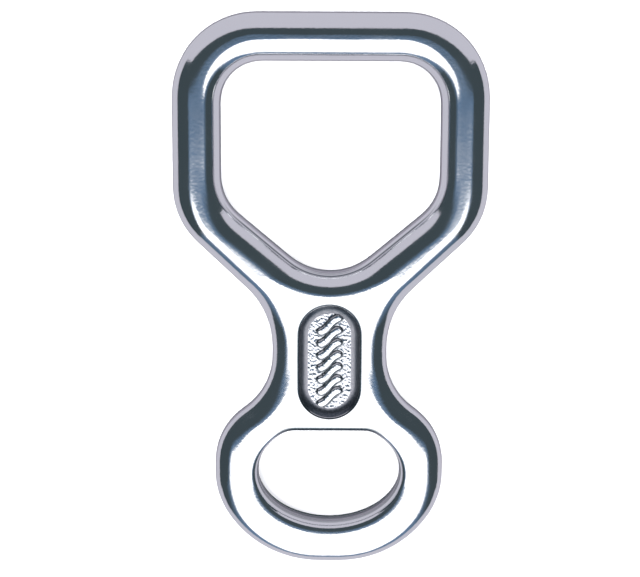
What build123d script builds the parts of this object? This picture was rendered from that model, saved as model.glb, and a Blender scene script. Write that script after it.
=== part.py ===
"""Figure-eight belay device: one closed aluminium forging with two eyes.

The large rope ring takes a bight of rope, the small eye takes the locking carabiner, and the neck
between them carries a sunk panel with a raised rope-lay motif. The forging lies on its back: X runs
across it, +Y points from the carabiner eye to the rope ring, and +Z points out of the panel side.
The origin is below the middle of the outline, on the surface that the ring rests on.
"""

import os
from math import cos, radians, tan

from build123d import *

# Rope ring, seen from the front
ring_width = 70.0
ring_corner_radius = 18.7  # the two corners beside the top bar
ring_side_height = 45.8  # top edge down to where the sides turn in
ring_shoulder_radius = 16.5
ring_taper = 43.3  # degrees below horizontal, the sides under the shoulders
ring_thickness = 12.0

# Opening of the rope ring
side_bar = 10.7
top_bar = 10.7
hole_corner_radius = 9.0
hole_side_height = 30.6  # top of the opening down to where its sides turn in
hole_shoulder_radius = 10.9
hole_taper = 39.8
hole_crotch_radius = 13.8

# Neck, whose sides are waisted by a pair of fillets
neck_width = 25.7
neck_length = 17.8
waist_radius = 18.3

# Carabiner eye
eye_width = 51.8
eye_shoulder_height = 31.5  # bottom edge up to the corner under the neck
eye_shoulder_radius = 18.7
eye_shoulder_taper = 35.1
eye_side_height = 15.1  # bottom edge up to where the sides turn in
eye_side_radius = 17.3
eye_base_width = 29.8
eye_base_radius = 24.7
eye_thickness = 9.0

# Opening of the carabiner eye, an oval with a flat across its top
eye_bottom_bar = 9.8
eye_hole_width = 32.3
eye_hole_height = 23.6  # of the whole oval
eye_flat_rise = 9.6  # middle of the oval up to the flat
eye_flat_radius = 3.8  # corners at the ends of the flat

# Ramp between the ring's thickness and the eye's
ramp_drop = 56.5  # top edge down to its thick end
ramp_length = 12.0
ramp_blend = 30.0

# Rounding of the forging's rims
outer_rounding = 4.2
hole_rounding = 4.4
eye_hole_rounding = 2.6

# Sunk panel on the front of the neck, between the two openings
panel_width = 13.8
panel_crotch_gap = 7.0
panel_eye_gap = 3.6
panel_depth = 1.0
panel_wall = 2.2  # width of its sloping wall

# Raised rope-lay motif on the panel's floor
lay_count = 7
lay_margin = 1.3  # from the motif to either end of the floor
lay_length = 5.8
lay_width = 1.7
lay_height = 0.4
lay_angle = 35.0

# How far a cutting sketch runs past the forging, and the share of its room that a fillet may use
overrun = 1.0
fillet_share = 0.98

# Places across and along the outline, from its middle
half_ring, half_neck, half_eye = ring_width / 2, neck_width / 2, eye_width / 2
ring_root_drop = ring_side_height + (half_ring - half_neck) * tan(radians(ring_taper))
eye_root_rise = eye_shoulder_height + (half_eye - half_neck) * tan(radians(eye_shoulder_taper))
top = (ring_root_drop + neck_length + eye_root_rise) / 2
bottom = -top
hole_half = half_ring - side_bar
hole_top = top - top_bar
hole_side = hole_top - hole_side_height
hole_apex = hole_side - hole_half * tan(radians(hole_taper))
crotch = hole_apex + hole_crotch_radius * (1 / cos(radians(hole_taper)) - 1)
eye_hole_middle = bottom + eye_bottom_bar + eye_hole_height / 2
eye_flat = eye_hole_middle + eye_flat_rise
ramp_top = top - ramp_drop
ramp_foot = ramp_top - ramp_length

# Heights
eye_back = (ring_thickness - eye_thickness) / 2
eye_front = eye_back + eye_thickness
panel_floor = eye_front - panel_depth

# Panel and motif
panel_length = crotch - eye_flat - panel_crotch_gap - panel_eye_gap
panel_middle = eye_flat + panel_eye_gap + panel_length / 2
floor_length = panel_length - 2 * panel_wall
floor_width = panel_width - 2 * panel_wall
lay_pitch = (floor_length - 2 * lay_margin) / lay_count


def fitted(points, radii):
    """Radii for a closed outline, smaller where two fillets share too short a side."""
    count = len(points)
    corners = [Vector(*point) for point in points]
    sides = [corners[(i + 1) % count] - corners[i] for i in range(count)]
    turns = [radians(sides[i - 1].get_angle(sides[i])) for i in range(count)]
    needs = [radius * tan(turn / 2) for radius, turn in zip(radii, turns)]
    room = [fillet_share * sides[i].length / (needs[i] + needs[(i + 1) % count]) for i in range(count)]
    return [radii[i] * min(1, room[i - 1], room[i]) for i in range(count)]


def rounding(wanted, *bars):
    """A rim's rounding, smaller where half the thickness or half of a bar is less."""
    return min(wanted, *(fillet_share * size / 2 for size in (ring_thickness, eye_thickness, *bars)))


def rims(faces):
    """Edges along the front and back of the upright walls among these faces."""
    walls = faces.filter_by(lambda face: abs(face.normal_at().Z) < 0.01)
    return walls.edges().filter_by(Axis.Z, reverse=True)


# Right half of the outline from the top corner down, with each corner's radius
right_side = [
    ((half_ring, top), ring_corner_radius),
    ((half_ring, top - ring_side_height), ring_shoulder_radius),
    ((half_neck, top - ring_root_drop), waist_radius),
    ((half_neck, bottom + eye_root_rise), waist_radius),
    ((half_eye, bottom + eye_shoulder_height), eye_shoulder_radius),
    ((half_eye, bottom + eye_side_height), eye_side_radius),
    ((eye_base_width / 2, bottom), eye_base_radius),
]
left_side = [((-x, y), radius) for (x, y), radius in reversed(right_side)]
outline_points, outline_radii = zip(*right_side, *left_side)

# Opening of the rope ring from its top left corner
ring_opening = [
    ((-hole_half, hole_top), hole_corner_radius),
    ((hole_half, hole_top), hole_corner_radius),
    ((hole_half, hole_side), hole_shoulder_radius),
    ((0, hole_apex), hole_crotch_radius),
    ((-hole_half, hole_side), hole_shoulder_radius),
]
hole_points, hole_radii = zip(*ring_opening)

# Side view of the forging, thick at the ring and thinner from the neck down
side_view = [
    ((bottom - overrun, eye_front), 0),
    ((ramp_foot, eye_front), ramp_blend),
    ((ramp_top, ring_thickness), ramp_blend),
    ((top + overrun, ring_thickness), 0),
    ((top + overrun, 0), 0),
    ((ramp_top, 0), ramp_blend),
    ((ramp_foot, eye_back), ramp_blend),
    ((bottom - overrun, eye_back), 0),
]
side_points, side_radii = zip(*side_view)

ring_bar = min(side_bar, top_bar)
eye_bar = min(eye_bottom_bar, half_eye - eye_hole_width / 2)

with BuildPart() as descender_body:
    with BuildSketch():
        with BuildLine():
            FilletPolyline(*outline_points, radius=fitted(outline_points, outline_radii), close=True)
        make_face()
    extrude(amount=ring_thickness)
    with BuildSketch(Plane.YZ):
        with BuildLine():
            FilletPolyline(*side_points, radius=side_radii, close=True)
        make_face()
    extrude(amount=half_ring + overrun, both=True, mode=Mode.INTERSECT)
    fillet(rims(descender_body.faces()), rounding(outer_rounding, ring_bar, eye_bar))

    # Opening of the rope ring
    with BuildSketch():
        with BuildLine():
            FilletPolyline(*hole_points, radius=fitted(hole_points, hole_radii), close=True)
        make_face()
    extrude(amount=ring_thickness, mode=Mode.SUBTRACT)
    fillet(rims(descender_body.faces(Select.LAST)), rounding(hole_rounding, ring_bar))

    # Opening of the carabiner eye
    with BuildSketch() as eye_opening:
        with Locations((0, eye_hole_middle)):
            Ellipse(eye_hole_width / 2, eye_hole_height / 2)
        with Locations((0, eye_flat)):
            Rectangle(
                eye_hole_width,
                eye_hole_height,
                align=(Align.CENTER, Align.MIN),
                mode=Mode.SUBTRACT,
            )
        fillet(eye_opening.vertices().group_by(Axis.Y)[-1], eye_flat_radius)
    extrude(amount=ring_thickness, mode=Mode.SUBTRACT)
    fillet(
        rims(descender_body.faces(Select.LAST)),
        rounding(eye_hole_rounding, eye_bar, 2 * panel_eye_gap),
    )

    # Sunk panel with a sloping wall, cut clear of the ramp's foot
    with BuildSketch(Plane.XY.offset(eye_front)):
        with Locations((0, panel_middle)):
            SlotOverall(panel_length, panel_width, rotation=90)
    extrude(amount=ring_thickness - eye_front, mode=Mode.SUBTRACT)
    with BuildSketch(Plane.XY.offset(eye_front)):
        with Locations((0, panel_middle)):
            SlotOverall(panel_length, panel_width, rotation=90)
    with BuildSketch(Plane.XY.offset(panel_floor)):
        with Locations((0, panel_middle)):
            SlotOverall(floor_length, floor_width, rotation=90)
    loft(mode=Mode.SUBTRACT)

    # Motif: a column of slanted strands
    with BuildSketch(Plane.XY.offset(panel_floor)):
        with Locations((0, panel_middle)):
            with GridLocations(0, lay_pitch, 1, lay_count):
                SlotOverall(lay_length, lay_width, rotation=lay_angle)
    extrude(amount=lay_height)

os.makedirs("parts", exist_ok=True)
descender_body.part.label = "descender_body"
export_step(descender_body.part, "parts/descender_body.step")
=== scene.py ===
from math import cos, pi, radians, sin

import bmesh
import bpy
import numpy as np
from mathutils import Matrix, Vector, noise
from mathutils.geometry import delaunay_2d_cdt


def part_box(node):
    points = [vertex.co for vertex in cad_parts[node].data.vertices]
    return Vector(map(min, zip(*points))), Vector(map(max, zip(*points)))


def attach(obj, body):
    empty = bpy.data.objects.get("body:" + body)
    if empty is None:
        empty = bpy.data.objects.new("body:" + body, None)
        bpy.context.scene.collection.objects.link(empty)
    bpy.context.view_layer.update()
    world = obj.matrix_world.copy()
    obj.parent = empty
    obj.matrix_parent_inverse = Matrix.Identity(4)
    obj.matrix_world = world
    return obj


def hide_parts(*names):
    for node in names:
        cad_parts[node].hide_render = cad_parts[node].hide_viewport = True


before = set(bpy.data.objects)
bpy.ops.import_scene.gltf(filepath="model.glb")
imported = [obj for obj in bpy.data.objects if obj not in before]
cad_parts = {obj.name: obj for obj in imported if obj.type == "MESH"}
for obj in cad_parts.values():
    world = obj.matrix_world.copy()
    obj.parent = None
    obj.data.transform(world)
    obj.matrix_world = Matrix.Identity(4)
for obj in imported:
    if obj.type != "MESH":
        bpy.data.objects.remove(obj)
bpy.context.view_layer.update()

# Lengths are in millimetres until a mesh is written, and MM turns them into metres.
MM = 0.001
NODE = "descender_body"
low, high = (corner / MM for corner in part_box(NODE))
MIDDLE = (low.z + high.z) / 2  # height of the parting plane

# ------------------------------------------------------------------ camera


def place_camera(distance=380.0, elevation=10.5, aim=(-2.2, 1.1), lens=95.1, roll=0.27):
    """Looks down on the front, leaning towards the rope ring, with +Y up in the picture."""
    tilt = radians(elevation)
    back = Vector((0, sin(tilt), cos(tilt)))
    right = Vector((1, 0, 0))
    up = back.cross(right)
    axes = Matrix((right, up, back)).transposed().to_4x4() @ Matrix.Rotation(radians(roll), 4, "Z")
    target = Vector((*aim, MIDDLE))
    camera = bpy.data.objects.new("camera", bpy.data.cameras.new("camera"))
    camera.matrix_world = Matrix.Translation((target + back * distance) * MM) @ axes
    camera.data.lens = lens
    camera.data.clip_start, camera.data.clip_end = 0.01, 20.0
    bpy.context.scene.collection.objects.link(camera)
    bpy.context.scene.camera = camera


place_camera()

# ------------------------------------------------------------------ outlines of the forging

FINE, SPACING = 0.1, 0.5  # between the points of an outline, while it is smoothed and afterwards
BLEND = 0.9  # length over which arcs and straights run into each other


def cut_loops(obj, height):
    """Closed outlines, as arrays of X and Y, where a level plane cuts the CAD solid."""
    mesh = bmesh.new()
    mesh.from_mesh(obj.data)
    bmesh.ops.remove_doubles(mesh, verts=mesh.verts, dist=1e-7)
    bmesh.ops.bisect_plane(
        mesh,
        geom=mesh.verts[:] + mesh.edges[:] + mesh.faces[:],
        plane_co=(0, 0, height * MM),
        plane_no=(0, 0, 1),
        clear_inner=True,
        clear_outer=True,
    )
    loops, seen = [], set()
    for start in mesh.verts:
        if start in seen:
            continue
        loop, vert = [], start
        while vert is not None:
            seen.add(vert)
            loop.append((vert.co.x / MM, vert.co.y / MM))
            beside = (edge.other_vert(vert) for edge in vert.link_edges)
            vert = next((v for v in beside if v not in seen), None)
        loops.append(np.array(loop))
    mesh.free()
    return loops


def even(points, spacing):
    """The closed outline again, with evenly spaced points."""
    closed = np.vstack([points, points[:1]])
    along = np.r_[0, np.cumsum(np.linalg.norm(np.diff(closed, axis=0), axis=1))]
    places = np.linspace(0, along[-1], round(along[-1] / spacing), endpoint=False)
    return np.stack([np.interp(places, along, closed[:, k]) for k in (0, 1)], axis=1)


def softened(points, blend, spacing):
    """The outline with its arcs and straights run into each other over the blend length."""
    fine = even(points, FINE)
    waves = np.fft.fft(fine[:, 0] + 1j * fine[:, 1])
    keep = np.exp(-2 * (pi * blend * np.fft.fftfreq(len(fine), FINE)) ** 2)
    smooth = np.fft.ifft(waves * keep)
    return even(np.stack([smooth.real, smooth.imag], axis=1), spacing)


def area(points):
    """Area within the outline, positive when it runs anticlockwise."""
    x, y = points.T
    return 0.5 * np.sum(x * np.roll(y, -1) - np.roll(x, -1) * y)


def left_normals(points):
    """Unit normals to the left of the way that the outline runs."""
    along = np.roll(points, -1, axis=0) - np.roll(points, 1, axis=0)
    along /= np.linalg.norm(along, axis=1)[:, None]
    return np.stack([-along[:, 1], along[:, 0]], axis=1)


def inside(places, loop):
    """Which of the places are inside the outline."""
    x, y = places[:, 0, None], places[:, 1, None]
    ax, ay = loop.T
    bx, by = np.roll(loop, -1, axis=0).T
    crosses = (ay > y) != (by > y)
    with np.errstate(divide="ignore", invalid="ignore"):
        at = ax + (y - ay) * (bx - ax) / (by - ay)
    return (crosses & (x < at)).sum(axis=1) % 2 == 1


def clear_of(places, loop, distance):
    """Which of the places are at least this far from every point of the outline."""
    return np.array([np.hypot(*(loop - place).T).min() > distance for place in places])


def forging_outlines():
    """Outer outline anticlockwise and the openings clockwise, so metal is always to the left."""
    loops = [softened(loop, BLEND, SPACING) for loop in cut_loops(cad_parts[NODE], MIDDLE)]
    loops.sort(key=lambda loop: -abs(area(loop)))
    outer, ring, eye = loops[:3]
    if area(outer) < 0:
        outer = outer[::-1]
    return outer, *(loop[::-1] if area(loop) > 0 else loop for loop in (ring, eye))


outer_loop, ring_loop, eye_loop = forging_outlines()
CROTCH = ring_loop[:, 1].min()  # lowest point of the rope ring's opening
EYE_FLAT = eye_loop[:, 1].max()
RING_SHOULDER = CROTCH + 16.0  # where the opening's sides turn in

# ------------------------------------------------------------------ surface builder

WELD = 0.01  # an edge shorter than this is dissolved


class Surface:
    """Points and faces, collected before they become one mesh.

    Each point has a finish, from 0 for polished to 1 for satin, and a painted shade, which is how much
    dark tone is painted on it to stand for shade: on the flash land, in scored lines, along the eye's
    upper edge, and round the sunk panel and its raised work.
    """

    def __init__(self):
        self.points = []
        self.finish = []
        self.painted_shade = []
        self.faces = []

    def add(self, points, finish=0.0, painted_shade=0.0):
        """Keeps the points and gives their numbers."""
        start = len(self.points)
        self.points.extend(map(tuple, points))
        self.finish.extend(np.broadcast_to(finish, len(points)).tolist())
        self.painted_shade.extend(np.broadcast_to(painted_shade, len(points)).tolist())
        return np.arange(start, len(self.points))

    def band(self, first, second):
        """Quads between two closed rows of the same number of points."""
        after_first, after_second = np.roll(first, -1), np.roll(second, -1)
        self.faces.extend(zip(first, after_first, after_second, second))

    def fill(self, loops, extra, keep):
        """Triangles between closed rows, through extra points, where keep says so."""
        ids = np.concatenate([*loops, extra]).astype(int)
        places = np.array([self.points[i][:2] for i in ids])
        flat = [Vector(place) for place in places]
        edges, start = [], 0
        for loop in loops:
            count = len(loop)
            edges += [(start + i, start + (i + 1) % count) for i in range(count)]
            start += count
        made, _, faces, sources, _, _ = delaunay_2d_cdt(flat, edges, [], 0, 1e-7)
        made = np.array(made)
        # A point that splitting left on a straight edge goes back to that edge's nearer end
        back = [
            ids[source[0] if source else np.hypot(*(places - place).T).argmin()]
            for place, source in zip(made, sources)
        ]
        centres = np.array([made[list(face)].mean(axis=0) for face in faces])
        for face, wanted in zip(faces, keep(centres)):
            corners = [back[v] for v in face]
            if wanted and len(set(corners)) == len(corners):
                self.faces.append(corners)

    def mesh(self, name):
        """The mesh in metres, without loose points or slivers, and with its normals outwards."""
        mesh = bpy.data.meshes.new(name)
        flat = [[int(i) for i in face] for face in self.faces]
        mesh.from_pydata([Vector(point) * MM for point in self.points], [], flat)
        for attribute, values in (("finish", self.finish), ("painted_shade", self.painted_shade)):
            mesh.attributes.new(attribute, "FLOAT", "POINT").data.foreach_set("value", values)
        tidy = bmesh.new()
        tidy.from_mesh(mesh)
        loose = [v for v in tidy.verts if not v.link_faces]
        bmesh.ops.delete(tidy, geom=loose, context="VERTS")
        bmesh.ops.dissolve_degenerate(tidy, dist=WELD * MM, edges=tidy.edges)
        bmesh.ops.recalc_face_normals(tidy, faces=tidy.faces)
        tidy.to_mesh(mesh)
        tidy.free()
        mesh.shade_smooth()
        return mesh


# ------------------------------------------------------------------ section of the forging

RING_HALF = MIDDLE - low.z  # half the thickness of the rope ring
EYE_HALF = 4.5  # and of the neck and carabiner eye
RAMP_TOP, RAMP_FOOT = 4.5, -8.5  # where along Y one eases into the other


def half_thickness(y):
    """Half the thickness at a place along Y: thick at the ring, eased down to the neck and eye."""
    share = np.clip((np.asarray(y) - RAMP_FOOT) / (RAMP_TOP - RAMP_FOOT), 0, 1)
    eased = share * share * (3 - 2 * share)
    return EYE_HALF + (RING_HALF - EYE_HALF) * eased


# Rows from the parting plane up: a trimmed flash land, a fine step, and the rounding's angles
LAND_HALF, LAND_STEP, STEP_RISE = 0.45, 0.07, 0.10
BELT_SHARE = 1 / 6  # of the half thickness that is upright
DRAFT = 0.3  # lean of the walls, so that the forging leaves its dies
BELT_ANGLE = 14  # below this angle the edge keeps the satin of the trimming belt
# Share of painted shade on the flash land and its step: a thin dark line round the edges
LAND_PAINTED_SHADE = 0.5
MARK_DEPTH = 0.015  # of a scored line
THIN_REACH = 0.28  # how far the rounding narrows where the forging is thinner
ANGLES = [0, 4, 8, 12, 15, 18, 21, 24, 25.5, 26.5, 27.5, 28.5, 30, 34]  # close together where scored
ANGLES += [39, 44, 50, 56, 62, 68, 74, 79, 84, 87, 90]


def ripple(x, y, z):
    """Slight unevenness that hand polishing leaves, in millimetres."""
    return 0.022 * noise.noise(Vector((x, y, z)) / 11.0) + 0.006 * noise.noise(Vector((x, y, z)) / 3.5)


def bend(surface, outline, reaches, fullness=1.0, marks=None):
    """The rounded edge that follows an outline. Gives its back and front rows.

    The reaches are how far the rounding goes in where the edge faces up the part, diagonally up, to
    a side, diagonally down and down. A higher fullness keeps the edge upright for longer.
    """
    normals = left_normals(outline)
    across, along = normals[:, 0] ** 2, normals[:, 1] ** 2
    straight_up, straight_down = (along * (side * normals[:, 1] > 0) for side in (-1, 1))
    up, diagonal_up, sideways, diagonal_down, down = reaches
    reach = up * straight_up + sideways * across + down * straight_down
    reach = reach + 4 * across * (diagonal_up * straight_up + diagonal_down * straight_down)
    reach = reach * (half_thickness(outline[:, 1]) / RING_HALF) ** THIN_REACH

    def row(inset, fixed, share, angle, side):
        """Points at an inset, a fixed height plus a share of the half thickness off the plane."""
        places = outline + normals * np.reshape(inset, (-1, 1))
        height = MIDDLE + side * (fixed + share * half_thickness(places[:, 1]))
        wave = np.array([ripple(*place, tall) for place, tall in zip(places, height)])
        places = places + normals * (wave * cos(radians(angle)))[:, None]
        height = np.clip(height - side * wave * sin(radians(angle)), low.z, high.z)
        return np.column_stack([places, height])

    rows = []
    for side in (-1, 1):
        found = []
        # The flash land and its step are satin and carry painted shade
        for inset, tall in ((0, LAND_HALF), (LAND_STEP, LAND_HALF + STEP_RISE)):
            found.append(surface.add(row(inset, tall, 0, 0, side), 1.0, LAND_PAINTED_SHADE))
        for angle in ANGLES:
            turn = radians(angle)
            curl = (1 - cos(turn)) ** fullness
            inset = LAND_STEP + DRAFT * sin(turn) + (reach - LAND_STEP - DRAFT) * curl
            # A scored line sinks the rows a little, and its strength also paints shade into them
            scored = marks(outline, angle) if marks else 0.0
            share = BELT_SHARE + (1 - BELT_SHARE) * sin(turn)
            belt = 1.0 if angle < BELT_ANGLE else 0.0
            points = row(inset + MARK_DEPTH * scored, 0, share, angle, side)
            found.append(surface.add(points, belt, scored))
        rows.append(found)
    back, front = rows
    seam = surface.add(row(0, 0, 0, 0, 1), 1.0, LAND_PAINTED_SHADE)
    ordered = back[::-1] + [seam] + front
    for first, second in zip(ordered, ordered[1:]):
        surface.band(first, second)
    return ordered[0], ordered[-1]


def line(value, at, width):
    """Strength of a mark, which is 1 where the value is at its middle and soon fades."""
    return np.exp(-(((value - at) / width) ** 2))


def trim_marks(outline, angle):
    """Scored lines that the trimming tool left round the lower half of the rope ring's opening, with
    painted shade in them.
    """
    fade = np.clip((RING_SHOULDER - outline[:, 1]) / 5.0, 0, 1)
    root = np.clip((CROTCH + 2.2 - outline[:, 1]) / 2.0, 0, 1)
    return fade * line(angle, 26, 2.4) + 0.6 * root * (line(angle, 12, 1.8) + line(angle, 18, 1.8))


def punch_marks_and_edge_shade(outline, angle):
    """Fine lines round the bottom of the carabiner eye's opening, and painted shade along its upper
    edge.
    """
    fade = np.clip((EYE_FLAT - 10 - outline[:, 1]) / 4.0, 0, 1)
    lines = sum(line(angle, at, 1.3) for at in (8, 18, 25.5))
    # A band of painted shade along the eye's upper edge, and painted shade in the fine lines
    upper = np.clip(1 - (EYE_FLAT - outline[:, 1]) / 2.0, 0, 1)
    return 0.3 * fade * lines + upper * (28 < angle < 71)


# ------------------------------------------------------------------ sunk panel and its motif

PANEL_HALF_WIDTH = 6.9
PANEL_TOP, PANEL_BOTTOM = CROTCH - 7.0, EYE_FLAT + 3.6  # set back from both openings
PANEL_MIDDLE = (PANEL_TOP + PANEL_BOTTOM) / 2
PANEL_STRAIGHT = (PANEL_TOP - PANEL_BOTTOM) / 2 - PANEL_HALF_WIDTH
PANEL_WALL, PANEL_DEPTH, PANEL_RIM = 2.0, 1.0, 0.26
PANEL_GRID = 0.14  # between the points of the panel's floor
RIM_ROUND = 1.2  # how full the rim's rounding is
RIM_LEAD = 0.12  # width of the polished row just outside the rim
WALL_CURVE = 2.2  # how soon the wall flattens out towards the floor
WALL_PAINTED_SHADE, END_PAINTED_SHADE, FOOT_FADE = 0.56, 0.36, 0.4  # painted shade along the wall, more at its ends, less low
SIDE_BOW = 0.03  # bulge of the panel's long sides, which aren't quite straight

LAY_COUNT, LAY_LENGTH, LAY_WIDTH, LAY_HEIGHT, LAY_ANGLE = 7, 6.6, 1.75, 0.45, 35.0
LAY_SWAY = 0.28  # the slight S of a laid strand
LAY_MARGIN = 1.3  # between the motif and the wall at each end
OUTLINE_AT, OUTLINE_WIDTH = 1.12, 0.22  # of the painted shade outlining the strands, as shares of half a strand's width


def stadium(inset, spacing=0.3):
    """The panel's outline moved inwards, anticlockwise, always with the same number of points."""
    steps = round(pi * PANEL_HALF_WIDTH / spacing)
    turns = np.linspace(0, pi, steps + 1)
    arc = (PANEL_HALF_WIDTH - inset) * np.stack([np.cos(turns), np.sin(turns)], axis=1)
    upper = arc + (0, PANEL_MIDDLE + PANEL_STRAIGHT)
    lower = -arc + (0, PANEL_MIDDLE - PANEL_STRAIGHT)
    sides = round(2 * PANEL_STRAIGHT / spacing)
    across = np.linspace(0, 1, sides + 1)[1:-1, None]
    bow = 4 * SIDE_BOW * across * (1 - across) * (1, 0)
    left = upper[-1] + (lower[0] - upper[-1]) * across - bow
    right = lower[-1] + (upper[0] - lower[-1]) * across + bow
    return np.vstack([upper, left, lower, right])


def rope_lay(x, y):
    """The raised rope-lay motif of slanted strands: its height and the painted shade that outlines it.
    """
    pitch = (PANEL_TOP - PANEL_BOTTOM - 2 * (PANEL_WALL + LAY_MARGIN)) / LAY_COUNT
    along = np.array((cos(radians(LAY_ANGLE)), sin(radians(LAY_ANGLE))))
    tallest, nearest = np.zeros(len(x)), np.full(len(x), np.inf)
    for strand in range(LAY_COUNT):
        middle = PANEL_MIDDLE + (strand - (LAY_COUNT - 1) / 2) * pitch
        offset = np.stack([x, y - middle], axis=1)
        u = offset @ along
        v = offset @ np.array((-along[1], along[0]))
        v = v - LAY_SWAY * np.sin(u / LAY_LENGTH * 2 * pi)
        reach = LAY_LENGTH / 2 - LAY_WIDTH / 2
        far = np.hypot(np.maximum(np.abs(u) - reach, 0), v) / (LAY_WIDTH / 2)
        dome = np.clip(1 - far**5, 0, 1) ** 0.6
        tallest = np.maximum(tallest, LAY_HEIGHT * dome)
        nearest = np.minimum(nearest, far)
    return tallest, line(nearest, OUTLINE_AT, OUTLINE_WIDTH)


def sink_panel(surface):
    """The panel's rim, sloping wall and floor. Gives the row that lies on the neck's face."""
    face = MIDDLE + EYE_HALF

    def lowered(outline, drop):
        """The outline at a depth below the neck's face, which rises a little near the ring."""
        rise = (half_thickness(outline[:, 1]) - EYE_HALF) * (1 - drop / PANEL_DEPTH)
        return np.column_stack([outline, face + rise - drop])

    rim = surface.add(lowered(stadium(-PANEL_RIM - RIM_LEAD), 0))
    # The rim's rounding carries a dark line of painted shade round the panel
    row = surface.add(lowered(stadium(-PANEL_RIM), 0), 0.0, 0.8)
    surface.band(rim, row)
    for share in (0.25, 0.5, 0.75, 1.0):
        turn = share * pi / 4
        rim_inset = -PANEL_RIM + 2 * PANEL_RIM * sin(turn) * sin(pi / 4) * RIM_ROUND
        rim_drop = PANEL_RIM * (1 - cos(turn)) * RIM_ROUND
        painted_shade = 1.0 if share < 1 else 0.3
        below = surface.add(lowered(stadium(rim_inset), rim_drop), 0.0, painted_shade)
        surface.band(row, below)
        row = below
    for share in np.linspace(0.08, 1, 12):
        outline = stadium(rim_inset + (PANEL_WALL - rim_inset) * share)
        drop = rim_drop + (PANEL_DEPTH - rim_drop) * (1 - (1 - share) ** WALL_CURVE)
        ends = np.clip((np.abs(outline[:, 1] - PANEL_MIDDLE) - PANEL_STRAIGHT) / 4, 0, 1)
        # Painted shade on the wall of the sunk panel
        painted_shade = (WALL_PAINTED_SHADE + END_PAINTED_SHADE * ends) * (1 - FOOT_FADE * share**3)
        below = surface.add(lowered(outline, drop), 1.0, painted_shade)
        surface.band(row, below)
        row = below
    edge = stadium(PANEL_WALL)
    xs = np.arange(-PANEL_HALF_WIDTH, PANEL_HALF_WIDTH, PANEL_GRID)
    ys = np.arange(PANEL_BOTTOM, PANEL_TOP, PANEL_GRID)
    places = np.stack(np.meshgrid(xs, ys), axis=-1).reshape(-1, 2)
    places = places[inside(places, stadium(PANEL_WALL + 0.6 * PANEL_GRID))]
    raised, outlined = rope_lay(*places.T)
    grain = np.array([
        0.05 * noise.noise(Vector((*place, 0)) * 1.9) + 0.035 * noise.noise(Vector((*place, 9)) * 3.6)
        for place in places
    ])
    rough = grain * np.where(raised > 0.6 * LAY_HEIGHT, 0.35, 1.0)  # the strands are smoother
    height = face - PANEL_DEPTH + raised + rough
    # Painted shade outlines the strands and darkens the lowest pits of the floor's grain
    specks = np.clip(-grain / 0.03 - 0.6, 0, 1) * (raised < 0.1)
    satin = np.where(raised > 0.7 * LAY_HEIGHT, 0.1, 0.4)
    floor = surface.add(np.column_stack([places, height]), satin, np.maximum(outlined, 0.8 * specks))
    surface.fill([row], floor, lambda centres: inside(centres, edge))
    return rim


# ------------------------------------------------------------------ the forging

FACE_GRID, FACE_MARGIN = 1.1, 0.55  # between the faces' points, and from them to the rounding


def face_points(surface, loops, side):
    """Extra points over the flat of a face, so that it follows the ramp in thickness."""
    outlines = [np.array([surface.points[i][:2] for i in loop]) for loop in loops]
    xs = np.arange(low.x, high.x, FACE_GRID)
    ys = np.arange(low.y, high.y, FACE_GRID)
    places = np.stack(np.meshgrid(xs, ys), axis=-1).reshape(-1, 2)
    for number, outline in enumerate(outlines):
        within = inside(places, outline)
        places = places[within if number == 0 else ~within]
        places = places[clear_of(places, outline, FACE_MARGIN)]
    height = MIDDLE + side * half_thickness(places[:, 1])
    return surface.add(np.column_stack([places, height]))


def between(surface, loops):
    """A test for places inside the first row and outside the others."""
    outlines = [np.array([surface.points[i][:2] for i in loop]) for loop in loops]

    def keep(centres):
        wanted = inside(centres, outlines[0])
        for outline in outlines[1:]:
            wanted &= ~inside(centres, outline)
        return wanted

    return keep


def forge():
    """The whole forging as one closed object."""
    surface = Surface()
    edges = [
        bend(surface, outer_loop, (5.0, 0.0, 5.8, -0.9, 5.0)),
        bend(surface, ring_loop, (6.2, 0.65, 4.5, 0.0, 5.2), marks=trim_marks),
        bend(surface, eye_loop, (3.2, 0.0, 3.2, 0.0, 3.2), fullness=2.5, marks=punch_marks_and_edge_shade),
    ]
    backs, fronts = (list(rows) for rows in zip(*edges))
    fronts.append(sink_panel(surface))
    for side, loops in ((-1, backs), (1, fronts)):
        extra = face_points(surface, loops, side)
        surface.fill(loops, extra, between(surface, loops))
    forging = bpy.data.objects.new("forged_descender", surface.mesh("forged_descender"))
    bpy.context.scene.collection.objects.link(forging)
    return forging


# ------------------------------------------------------------------ materials


def feed(tree, socket, value):
    """Sets the socket to the value, or links it when the value is another node's output."""
    if isinstance(value, bpy.types.NodeSocket):
        tree.links.new(value, socket)
    else:
        socket.default_value = (*value, 1) if isinstance(value, tuple) else value


def combined(tree, operation, first, second=0.0):
    """What a Math node makes of one or two values."""
    node = tree.nodes.new("ShaderNodeMath")
    node.operation = operation
    feed(tree, node.inputs[0], first)
    feed(tree, node.inputs[1], second)
    return node.outputs["Value"]


def ramped(tree, source, low_in, high_in, low_out=0.0, high_out=1.0):
    """A smooth step between two values of the source."""
    node = tree.nodes.new("ShaderNodeMapRange")
    node.interpolation_type = "SMOOTHSTEP"
    ends = {"From Min": low_in, "From Max": high_in, "To Min": low_out, "To Max": high_out}
    for name, value in ends.items():
        node.inputs[name].default_value = value
    tree.links.new(source, node.inputs["Value"])
    return node.outputs["Result"]


def blended(tree, first, second, share):
    """The first colour, and the second one where the share is 1."""
    node = tree.nodes.new("ShaderNodeMix")
    node.data_type = "RGBA"
    feed(tree, node.inputs["Factor"], share)
    feed(tree, node.inputs["A"], first)
    feed(tree, node.inputs["B"], second)
    return node.outputs["Result"]


# The third colour is the dark tone of painted shade, which the mesh carries in lines, edges and
# hollows
POLISHED, SATIN, PAINTED_SHADE_TONE = (0.90, 0.91, 0.93), (0.74, 0.72, 0.77), (0.02, 0.045, 0.065)


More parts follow.
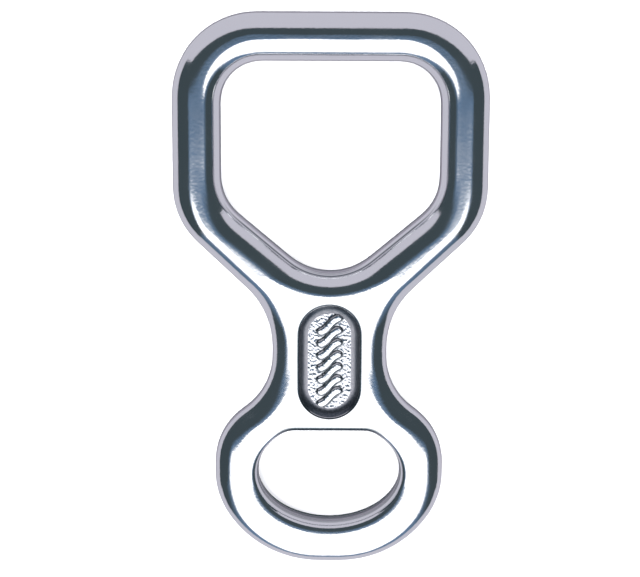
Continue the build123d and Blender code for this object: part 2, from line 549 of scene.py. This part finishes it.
def polished_aluminium():
    """Bright polished alloy, satin where the finish value is high and darkened where painted shade is.
    """
    material = bpy.data.materials.new("polished_aluminium")
    material.use_nodes = True
    tree = material.node_tree
    shader = tree.nodes["Principled BSDF"]
    shader.inputs["Metallic"].default_value = 1.0
    place = tree.nodes.new("ShaderNodeTexCoord")

    def cloud(scale, detail):
        """Noise in the object's own coordinates."""
        node = tree.nodes.new("ShaderNodeTexNoise")
        node.inputs["Scale"].default_value = scale
        node.inputs["Detail"].default_value = detail
        tree.links.new(place.outputs["Object"], node.inputs["Vector"])
        return node.outputs["Fac"]

    def carried(attribute):
        """A value that the mesh carries at its points."""
        node = tree.nodes.new("ShaderNodeAttribute")
        node.attribute_name = attribute
        return node.outputs["Fac"]

    ragged = ramped(tree, cloud(900, 3), 0.3, 0.7, -0.1, 0.1)
    satin = ramped(tree, combined(tree, "ADD", carried("finish"), ragged), 0.35, 0.65)

    rough = tree.nodes.new("ShaderNodeMix")
    feed(tree, rough.inputs["Factor"], satin)
    feed(tree, rough.inputs["A"], ramped(tree, cloud(120, 4), 0.3, 0.7, 0.09, 0.15))
    feed(tree, rough.inputs["B"], ramped(tree, cloud(2600, 2), 0.3, 0.7, 0.30, 0.46))
    feed(tree, shader.inputs["Roughness"], rough.outputs["Result"])

    # Painted shade, its darkness varied a little at random
    shade_mottle = ramped(tree, cloud(3200, 2), 0.35, 0.65, 0.9, 1.0)
    painted_shade_amount = combined(tree, "MULTIPLY", carried("painted_shade"), shade_mottle)
    metal = blended(tree, POLISHED, SATIN, satin)
    feed(tree, shader.inputs["Base Color"], blended(tree, metal, PAINTED_SHADE_TONE, painted_shade_amount))

    bump = tree.nodes.new("ShaderNodeBump")
    bump.inputs["Distance"].default_value = 0.04 * MM
    feed(tree, bump.inputs["Height"], cloud(1700, 3))
    feed(tree, bump.inputs["Strength"], ramped(tree, satin, 0.0, 1.0, 0.3, 0.5))
    feed(tree, shader.inputs["Normal"], bump.outputs["Normal"])
    return material


# ------------------------------------------------------------------ studio

# Colours of the painted room that the metal mirrors, and of the backdrop that the camera sees
DARK, CEILING, FAR_WALL = (0.048, 0.066, 0.076), (0.125, 0.20, 0.31), (0.57, 0.56, 0.63)
CARD = (1.6, 1.6, 1.62)
BACKDROP = (0.93, 0.93, 0.94)


def studio_world():
    """Dark room with a white card on the carabiner side, a cool ceiling and a pale far wall."""
    world = bpy.data.worlds.new("studio")
    bpy.context.scene.world = world
    world.use_nodes = True
    tree = world.node_tree
    tree.nodes.clear()
    place = tree.nodes.new("ShaderNodeTexCoord")
    split = tree.nodes.new("ShaderNodeSeparateXYZ")
    tree.links.new(place.outputs["Generated"], split.inputs["Vector"])
    x, y, z = (split.outputs[axis] for axis in "XYZ")

    def both(first, second):
        return combined(tree, "MULTIPLY", first, second)

    lean = combined(tree, "ARCTAN2", y, z)  # angle from straight up towards +Y, seen from the side
    width = combined(tree, "ABSOLUTE", x)
    overhead = both(ramped(tree, width, 0.80, 0.52), ramped(tree, lean, radians(4), radians(-6.5)))
    colour = blended(tree, DARK, CEILING, overhead)

    carded = both(ramped(tree, lean, radians(-8.2), radians(-11.8)), ramped(tree, width, 0.62, 0.47))
    aside = combined(tree, "MAXIMUM", combined(tree, "SUBTRACT", width, 0.2), 0.0)
    above = combined(tree, "SUBTRACT", z, both(aside, 0.8))  # the card's foot rises to its sides
    colour = blended(tree, colour, CARD, both(carded, ramped(tree, above, 0.14, 0.26)))

    spread = combined(tree, "DIVIDE", width, combined(tree, "MAXIMUM", y, 0.01))
    walled = both(ramped(tree, lean, radians(37), radians(43)), ramped(tree, spread, 3.4, 2.0))
    colour = blended(tree, colour, FAR_WALL, walled)

    # The lower half of the room stands in for the floor, and is dark straight below
    colour = blended(tree, colour, FAR_WALL, ramped(tree, z, 0.02, -0.04))
    colour = blended(tree, colour, DARK, ramped(tree, z, -0.80, -0.97))

    seen = tree.nodes.new("ShaderNodeLightPath")
    background = tree.nodes.new("ShaderNodeBackground")
    colour = blended(tree, colour, BACKDROP, seen.outputs["Is Camera Ray"])
    feed(tree, background.inputs["Color"], colour)
    output = tree.nodes.new("ShaderNodeOutputWorld")
    feed(tree, output.inputs["Surface"], background.outputs["Background"])


def studio_floor():
    """Plain white floor. The metal mirrors the world's quieter lower half in its place."""
    reach = 3.0  # metres each way
    mesh = bpy.data.meshes.new("floor")
    corners = [(-reach, -reach, 0), (reach, -reach, 0), (reach, reach, 0), (-reach, reach, 0)]
    mesh.from_pydata(corners, [], [(0, 1, 2, 3)])
    floor = bpy.data.objects.new("floor", mesh)
    floor.visible_glossy = False
    bpy.context.scene.collection.objects.link(floor)
    material = bpy.data.materials.new("floor")
    material.use_nodes = True
    shader = material.node_tree.nodes["Principled BSDF"]
    shader.inputs["Base Color"].default_value = (0.88, 0.88, 0.89, 1)
    shader.inputs["Roughness"].default_value = 0.9
    shader.inputs["Specular IOR Level"].default_value = 0.1
    mesh.materials.append(material)


FLAG_PLACE, FLAG_REACH, FLAG_TOP = 130, 95, 130


def dark_flag(name, x):
    """A dark card beside the object that only its reflections show."""
    mesh = bpy.data.meshes.new(name)
    outline = [(-FLAG_REACH, 0), (FLAG_REACH, 0), (FLAG_REACH, FLAG_TOP), (-FLAG_REACH, FLAG_TOP)]
    corners = [(x, *corner) for corner in outline]
    mesh.from_pydata([Vector(corner) * MM for corner in corners], [], [(0, 1, 2, 3)])
    flag = bpy.data.objects.new(name, mesh)
    for kind in ("camera", "diffuse", "shadow", "transmission"):
        setattr(flag, f"visible_{kind}", False)
    bpy.context.scene.collection.objects.link(flag)
    material = bpy.data.materials.new(name)
    material.use_nodes = True
    shader = material.node_tree.nodes["Principled BSDF"]
    shader.inputs["Base Color"].default_value = (0, 0, 0, 1)
    shader.inputs["Roughness"].default_value = 1.0
    shader.inputs["Specular IOR Level"].default_value = 0.0
    shader.inputs["Emission Color"].default_value = (*DARK, 1)
    shader.inputs["Emission Strength"].default_value = 1.0
    mesh.materials.append(material)


def soft_light(name, place, size, watts):
    """A square area light aimed at the object, left out of reflections."""
    light = bpy.data.lights.new(name, "AREA")
    light.size = size
    light.energy = watts
    obj = bpy.data.objects.new(name, light)
    obj.location = place
    obj.rotation_mode = "QUATERNION"
    obj.rotation_quaternion = (-Vector(place)).to_track_quat("-Z", "Y")
    obj.visible_glossy = False
    bpy.context.scene.collection.objects.link(obj)


studio_world()
studio_floor()
dark_flag("flag_left", -FLAG_PLACE)
dark_flag("flag_right", FLAG_PLACE)
soft_light("key", (-0.4, 0.5, 1.4), 1.2, 42)
soft_light("fill", (0.7, -0.6, 1.2), 1.2, 28)
bpy.context.scene.view_settings.view_transform = "Standard"

forging = forge()
forging.data.materials.append(polished_aluminium())
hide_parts(NODE)
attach(forging, "root")
